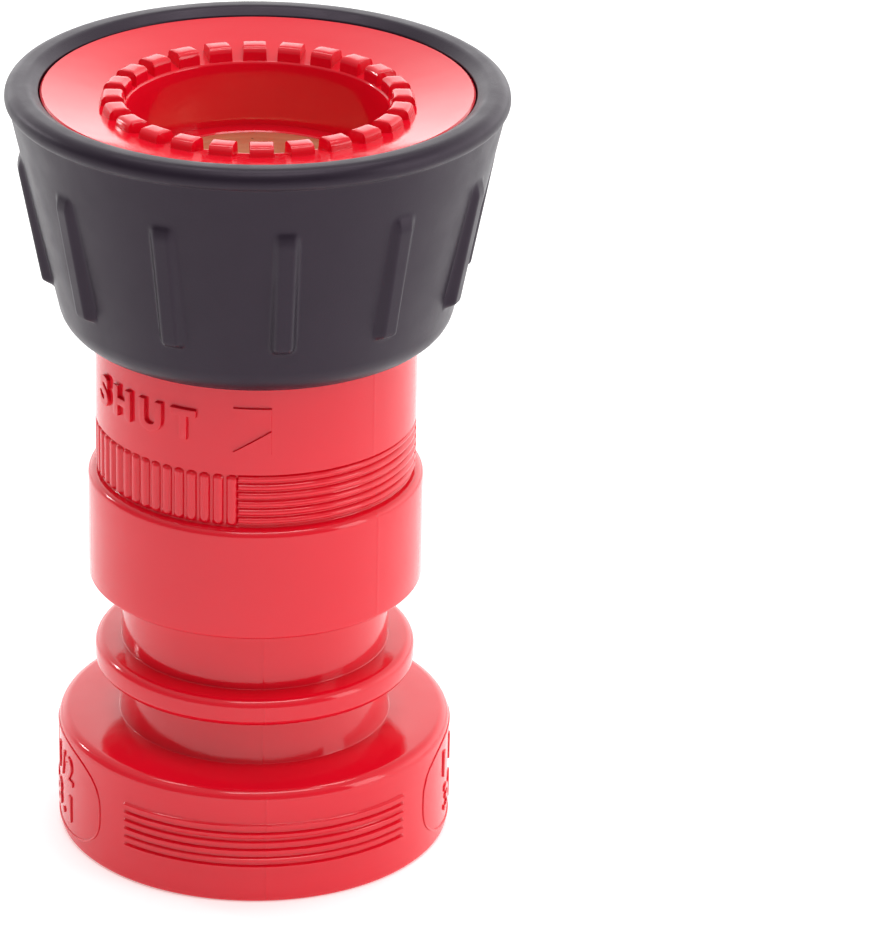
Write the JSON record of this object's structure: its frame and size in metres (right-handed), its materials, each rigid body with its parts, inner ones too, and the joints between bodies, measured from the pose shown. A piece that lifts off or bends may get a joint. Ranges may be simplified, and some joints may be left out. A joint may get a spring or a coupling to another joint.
{
  "type": "fire hose nozzle",
  "caption": "Twist-to-open fire hose fog nozzle with a threaded inlet, a sleeve that screws along the barrel, a brass baffle head and a rubber bumper.",
  "frame": {"origin": "centre of the inlet face, which the nozzle stands on", "axes": "+Z along the nozzle's axis, from the inlet to the outlet; -Y is the front, where the closing arrow is when the nozzle is shut"},
  "size_m": [0.0954, 0.0954, 0.1544],
  "materials": {
    "red_plastic": "glossy moulded polycarbonate, red right through",
    "black_rubber": "satin black rubber",
    "turned_brass": "lathe-turned brass with fine rings and small casting pits",
    "steel": "plain stainless steel",
    "seal_rubber": "matte black nitrile rubber",
    "white_nylon": "natural nylon"
  },
  "bodies": {
    "body": {"inlet_body": "red_plastic", "inlet_gasket": "seal_rubber", "stem_spider": "turned_brass", "spider_snap_ring": "steel", "stem": "turned_brass", "stem_washer": "steel", "stem_nut": "turned_brass", "baffle_head": "turned_brass", "seat_washer": "seal_rubber", "seat_washer_retainer": "turned_brass", "front_o_ring": "seal_rubber", "rear_o_ring": "seal_rubber", "cam_pin_1": "turned_brass", "cam_pin_2": "turned_brass", "cam_pin_3": "turned_brass"},
    "glide": {"glide_ring": "white_nylon"},
    "sleeve": {"sleeve": "red_plastic", "fog_tip": "red_plastic", "tip_o_ring": "seal_rubber", "bumper": "black_rubber"}
  },
  "joints": [
    {"name": "sleeve_travel", "type": "slide", "parent": "body", "child": "glide", "axis": [0, 0, -1], "range_m": [0, 0.0134]},
    {"name": "sleeve_turn", "type": "hinge", "parent": "glide", "child": "sleeve", "pos_m": [0, 0, 0.1], "axis": [0, 0, -1], "range_deg": [0, 240]}
  ],
  "couplings": [
    {"joint": "sleeve_travel", "follows": "sleeve_turn", "m_per_rad": 0.003199}
  ]
}
